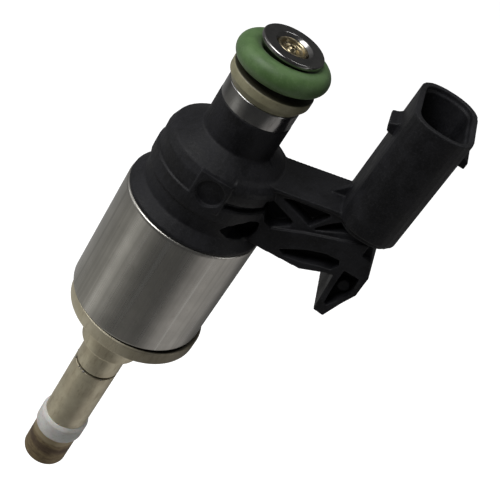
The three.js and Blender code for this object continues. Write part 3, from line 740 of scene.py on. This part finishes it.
def can():
    """The coil's can, with its top lip turned in and its floor hidden by the ring."""
    outer, bottom, top = CAN_RADIUS, CAN_BOTTOM, CAN_TOP
    hole, wall, floor = 5.57, 1.3, 2.3
    turned(
        "coil_can",
        [
            [hole, bottom], [outer - 0.35, bottom],
            [outer - 0.06, bottom + 0.12], [outer, bottom + 0.35],
            [outer, top - 0.42], [outer - 0.08, top - 0.14],
            [outer - 0.3, top], [outer - wall, top - 0.05],
            [outer - wall, bottom + floor], [hole, bottom + floor],
        ],
        "can_steel", ["magnet_pot"], segments=192, radius=0.12,
    )


def seat_ring():
    """The loose ring under the can, off centre, with a low step on top where the can sits."""
    low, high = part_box("seat_ring")
    bottom, top = low.z / MM, high.z / MM
    centre = (low.x + high.x) / 2 / MM
    outer = (high.x - low.x) / 2 / MM
    hole = 5.5
    turned(
        "seat_ring_turned",
        [
            [hole, bottom], [outer - 0.45, bottom], [outer, bottom + 0.4], [outer, top - 0.4],
            [outer - 0.22, top - 0.16], [outer - 0.5, top - 0.14], [outer - 1.2, top - 0.2],
            [outer - 1.4, top], [hole, top],
        ],
        "steel", ["seat_ring"], look="ring_steel", segments=192, centre_x=centre, radius=0.12,
    )


def nozzle():
    """Housing and nozzle, welded together at a groove, and the white ring near the tip."""
    tube, bore, weld = NOZZLE_RADIUS, NOZZLE_BORE, WELD
    spigot, spigot_top, socket = 2.95, 27.4, 2.97
    hub, hub_top = 4.78, 39.06
    tip, seal_room, seal_top, seat_room = 3.63, 3.1, 10.57, 2.77
    turned(
        "housing_turned",
        [
            # upper nozzle tube, from the weld up
            [socket, weld["top"] + 0.05], [3.38, weld["top"] + 0.05], [tube - 0.03, 24.02], [tube, 24.1],
            [tube, 28.6],
            # hub
            [4.6, 28.86], [hub, 29.15], [hub, hub_top],
            # collar inside the can
            [5.55, hub_top], [5.55, 41.4], [5.5, 41.42], [5.5, 46.78], [4.55, 46.78], [4.55, 41.2],
            # bore
            [bore, 39.6], [bore, 27.45], [socket, 27.45],
        ],
        "steel", ["valve_housing"], radius=0.08,
    )
    turned(
        "nozzle_turned",
        [
            # tip
            [seat_room, 0.12], [3.2, 0.12], [3.5, 0.28], [tip, 0.62], [tip, SEAL_BOTTOM],
            # groove for the white ring
            [seal_room, SEAL_BOTTOM], [seal_room, seal_top], [tube, seal_top],
            # tube, weld groove and spigot
            [tube, weld["bottom"] - 0.14], [tube - 0.05, weld["bottom"] - 0.04],
            [weld["radius"], weld["bottom"]], [weld["radius"], weld["top"]],
            [spigot, weld["top"]], [spigot, spigot_top],
            # bore and room for the seat
            [bore, spigot_top], [bore, 5.4], [seat_room, 5.4],
        ],
        "steel", ["valve_body"], radius=0.06,
    )
    turned(
        "sealing_ring",
        [[3.12, 6.97], [3.86, 6.97], [3.98, 7.3], [3.98, 9.95], [3.62, 10.55], [3.12, 10.55]],
        "white_plastic", ["combustion_seal"], radius=0.12,
    )


SPRING = {"wire": 0.2, "turns": 5, "clearance": 0.1, "steps_per_turn": 40, "sides": 14}


def spring():
    """The closing spring in round wire. Its foot stays clear of the needle's head at full lift."""
    low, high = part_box("closing_spring")
    wire, turns, sides = SPRING["wire"], SPRING["turns"], SPRING["sides"]
    coil = high.y / MM - wire
    bottom, top = low.z / MM + SPRING["clearance"] + wire, high.z / MM - wire
    count = turns * SPRING["steps_per_turn"]
    shape = bmesh.new()
    rings = []
    for i in range(count + 1):
        angle = 2 * math.pi * turns * i / count
        outward = Vector((math.cos(angle), math.sin(angle), 0))
        centre = outward * coil + Vector((0, 0, bottom + (top - bottom) * i / count))
        rings.append([])
        for k in range(sides):
            turn = 2 * math.pi * k / sides
            place = centre + wire * (outward * math.cos(turn) + Vector((0, 0, math.sin(turn))))
            rings[-1].append(shape.verts.new(place * MM))
    for here, there in zip(rings, rings[1:]):
        for k in range(sides):
            n = (k + 1) % sides
            shape.faces.new((here[k], there[k], there[n], here[n]))
    shape.faces.new(rings[0])
    shape.faces.new(reversed(rings[-1]))
    bmesh.ops.recalc_face_normals(shape, faces=shape.faces)
    placed("round_wire_spring", as_mesh("round_wire_spring", shape), "steel", ["closing_spring"])


BEAD_AZIMUTHS = [-128, -119, -112, -60, -35, 10, 40, 75, 110, 150, 176, -160]


def weld_beads():
    """Drops of spatter on the lower lip of the weld groove between housing and nozzle."""
    chance = random.Random(4)
    shape = bmesh.new()
    for azimuth in BEAD_AZIMUTHS:
        size = 0.11 + 0.09 * chance.random()
        angle = math.radians(azimuth + 3 * chance.random())
        height = WELD["bottom"] - 0.08 + 0.12 * chance.random()
        radius = NOZZLE_RADIUS - 0.05
        place = Vector((radius * math.cos(angle), radius * math.sin(angle), height)) * MM
        drop = Matrix.Translation(place)
        bmesh.ops.create_icosphere(shape, subdivisions=2, radius=size * MM, matrix=drop)
    placed("weld_beads", as_mesh("weld_beads", shape), "steel", [], look="magnetic_steel")


# ---- Black moulding -----------------------------------------------------------------------------

SKIN_CELL = 0.12  # size of the skin's surface cells, which also rounds its edges
SKIN_SMOOTHING = 3  # rounds of smoothing
SKIN_KEPT = 0.25  # share of the skin's faces that is kept


def moulding():
    """The housing, arm and socket as one moulded skin with soft edges."""
    work = bpy.data.objects.new("moulded_housing_work", cad_mesh("overmould"))
    bpy.context.scene.collection.objects.link(work)
    skin = work.modifiers.new("skin", "REMESH")
    skin.mode = "VOXEL"
    skin.voxel_size = SKIN_CELL * MM
    skin.use_smooth_shade = True
    ease = work.modifiers.new("ease", "SMOOTH")
    ease.factor = 0.5
    ease.iterations = SKIN_SMOOTHING
    shrink = work.modifiers.new("shrink", "DECIMATE")
    shrink.ratio = SKIN_KEPT
    bpy.context.view_layer.update()
    seen = work.evaluated_get(bpy.context.evaluated_depsgraph_get())
    final = bpy.data.meshes.new_from_object(seen)
    bpy.data.objects.remove(work)
    placed("moulded_housing", final, "black_plastic", ["overmould"])


# ---- Build --------------------------------------------------------------------------------------

add_camera()
add_lights()
add_floor()
dress_carried_nodes()
inlet()
collar()
o_ring()
backup_ring()
can()
seat_ring()
nozzle()
spring()
weld_beads()
moulding()
